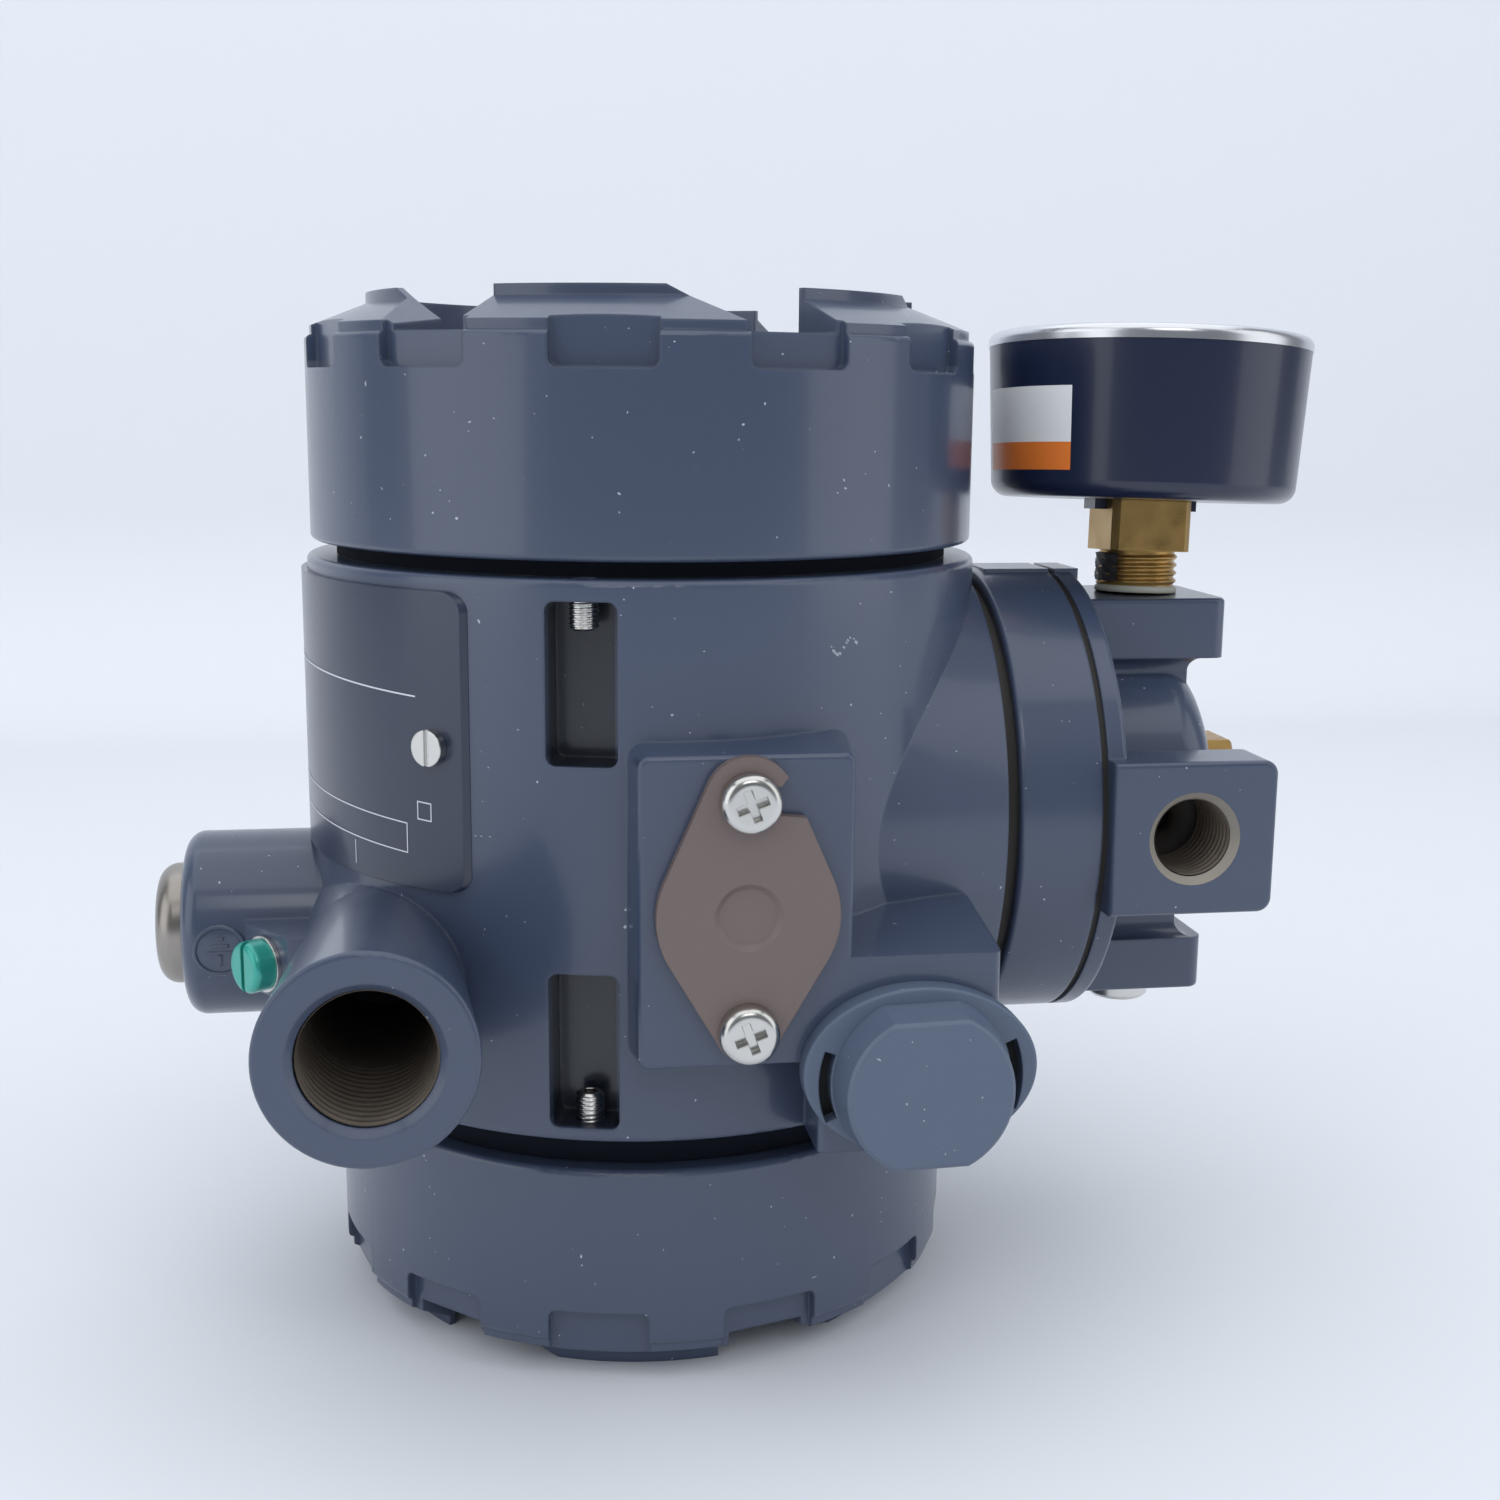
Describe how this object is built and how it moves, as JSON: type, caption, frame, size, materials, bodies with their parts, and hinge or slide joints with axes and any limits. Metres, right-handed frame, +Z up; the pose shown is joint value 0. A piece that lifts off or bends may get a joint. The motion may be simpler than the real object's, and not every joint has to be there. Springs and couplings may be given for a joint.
{
  "type": "electro-pneumatic transducer",
  "caption": "Current-to-pressure transducer: round cast housing with two lugged screw caps, conduit bosses, side relay with pressure gauge, filter and vent.",
  "frame": {"origin": "on the housing's axis, in the plane that the lower cap stands on", "axes": "+Z up along the housing's axis, +X towards the relay and gauge, -Y towards the filter and the front conduit entry"},
  "size_m": [0.2036, 0.14, 0.1704],
  "materials": {
    "blue_grey_paint": "satin gloss paint on cast aluminium",
    "vent_plastic": "moulded plastic",
    "filter_brown": "painted brown plate",
    "stainless": "machined stainless steel",
    "nameplate_black": "black printed plate",
    "earth_green": "green plated screw",
    "brass": "machined brass",
    "black_rubber": "moulded rubber",
    "gauge_black": "black painted steel case",
    "chrome": "polished chrome",
    "lens": "clear lens",
    "dial_white": "white enamelled dial",
    "pointer_black": "black pointer",
    "module_plastic": "moulded black plastic",
    "steel": "soft iron and spring steel",
    "copper": "enamelled copper winding",
    "board_green": "circuit board",
    "filter_media": "sintered filter",
    "clear_plastic": "moulded pale plastic"
  },
  "bodies": {
    "housing": {"housing": "blue_grey_paint", "nameplate": "nameplate_black", "nameplate_screws": "stainless", "ground_screw": "earth_green", "ground_washer": "stainless", "conduit_plug": "stainless", "filter_oring": "black_rubber", "filter_element": "filter_media", "filter_cover_screws": "stainless", "vent_base": "vent_plastic", "vent_cap": "vent_plastic", "vent_screen": "stainless", "feedthrough": "module_plastic", "feedthrough_pins": "brass", "terminal_block": "module_plastic", "terminal_screws": "stainless", "terminal_clamps": "stainless", "module_base": "module_plastic", "module_oring": "black_rubber", "module_cover": "module_plastic", "module_screws": "stainless", "circuit_board": "board_green", "nozzle": "brass", "magnet_yoke": "steel", "magnets": "steel", "coil_bobbin": "clear_plastic", "coil_winding": "copper", "zero_spring": "steel", "flange_gasket": "black_rubber", "relay_body": "blue_grey_paint", "relay_diaphragm": "black_rubber", "relay_springs": "steel", "valve_seat": "brass", "cover_gasket": "black_rubber", "side_cover": "blue_grey_paint", "side_cover_screws": "stainless", "hub_plug": "brass", "port_plugs": "stainless", "gauge_socket": "brass", "gauge_case": "gauge_black", "gauge_bezel": "chrome", "gauge_lens": "lens", "gauge_dial": "dial_white", "gauge_tube": "brass", "gauge_movement": "brass"},
    "upper_cap_ring": {"upper_cap_oring": "black_rubber"},
    "upper_cap": {"upper_cap": "blue_grey_paint"},
    "lower_cap_ring": {"lower_cap_oring": "black_rubber"},
    "lower_cap": {"lower_cap": "blue_grey_paint"},
    "upper_lock": {"upper_lock_screw": "stainless"},
    "lower_lock": {"lower_lock_screw": "stainless"},
    "filter_cover": {"filter_cover": "filter_brown"},
    "armature": {"armature": "steel"},
    "zero_screw": {"zero_screw": "brass"},
    "span_screw": {"span_screw": "brass"},
    "relay_piston": {"relay_piston": "steel"},
    "valve_plug": {"valve_plug": "brass"},
    "gauge_pointer": {"gauge_pointer": "pointer_black"},
    "gauge_sector": {"gauge_sector": "brass"}
  },
  "joints": [
    {"name": "upper_cap_lift", "type": "slide", "parent": "housing", "child": "upper_cap_ring", "axis": [0, 0, 1], "range_m": [0, 0.0102]},
    {"name": "upper_cap_turn", "type": "hinge", "parent": "upper_cap_ring", "child": "upper_cap", "pos_m": [0, 0, 0], "axis": [0, 0, 1], "range_deg": [0, 1800]},
    {"name": "lower_cap_drop", "type": "slide", "parent": "housing", "child": "lower_cap_ring", "axis": [0, 0, -1], "range_m": [0, 0.0102]},
    {"name": "lower_cap_turn", "type": "hinge", "parent": "lower_cap_ring", "child": "lower_cap", "pos_m": [0, 0, 0], "axis": [0, 0, -1], "range_deg": [0, 1800]},
    {"name": "upper_lock_turn", "type": "slide", "parent": "housing", "child": "upper_lock", "axis": [0, 0, 1], "range_m": [0, 0.0028]},
    {"name": "lower_lock_turn", "type": "slide", "parent": "housing", "child": "lower_lock", "axis": [0, 0, -1], "range_m": [0, 0.005]},
    {"name": "filter_cover_swing", "type": "hinge", "parent": "housing", "child": "filter_cover", "pos_m": [0.0089, -0.064, 0.0624], "axis": [0, -1, 0], "range_deg": [0, 50]},
    {"name": "armature_tilt", "type": "hinge", "parent": "housing", "child": "armature", "pos_m": [-0.029, 0, 0.1098], "axis": [0, 1, 0], "range_deg": [-0.4, 0.4], "stiffness_Nm_per_rad": 0.4},
    {"name": "zero_screw_turn", "type": "hinge", "parent": "housing", "child": "zero_screw", "pos_m": [0.016, 0, 0], "axis": [0, 0, 1], "range_deg": [-720, 720]},
    {"name": "span_screw_turn", "type": "hinge", "parent": "housing", "child": "span_screw", "pos_m": [-0.014, 0.018, 0], "axis": [0, 0, 1], "range_deg": [-135, 135]},
    {"name": "relay_piston_slide", "type": "slide", "parent": "housing", "child": "relay_piston", "axis": [1, 0, 0], "range_m": [0, 0.001], "stiffness_N_per_m": 500, "deforming": ["relay_springs"]},
    {"name": "valve_plug_slide", "type": "slide", "parent": "housing", "child": "valve_plug", "axis": [1, 0, 0], "range_m": [0, 0.001]},
    {"name": "pointer_turn", "type": "hinge", "parent": "housing", "child": "gauge_pointer", "pos_m": [0.0898, 0, 0.12], "axis": [-0.0314, -0.0523, -0.9981], "range_deg": [0, 270]},
    {"name": "sector_turn", "type": "hinge", "parent": "housing", "child": "gauge_sector", "pos_m": [0.07881, 0.00002, 0.12034], "axis": [-0.0314, -0.0523, -0.9981], "range_deg": [-50, 50]}
  ],
  "couplings": [
    {"joint": "upper_cap_lift", "follows": "upper_cap_turn", "m_per_rad": 0.00031831},
    {"joint": "lower_cap_drop", "follows": "lower_cap_turn", "m_per_rad": 0.00031831},
    {"joint": "valve_plug_slide", "follows": "relay_piston_slide", "ratio": 1},
    {"joint": "sector_turn", "follows": "pointer_turn", "ratio": -0.17021}
  ]
}
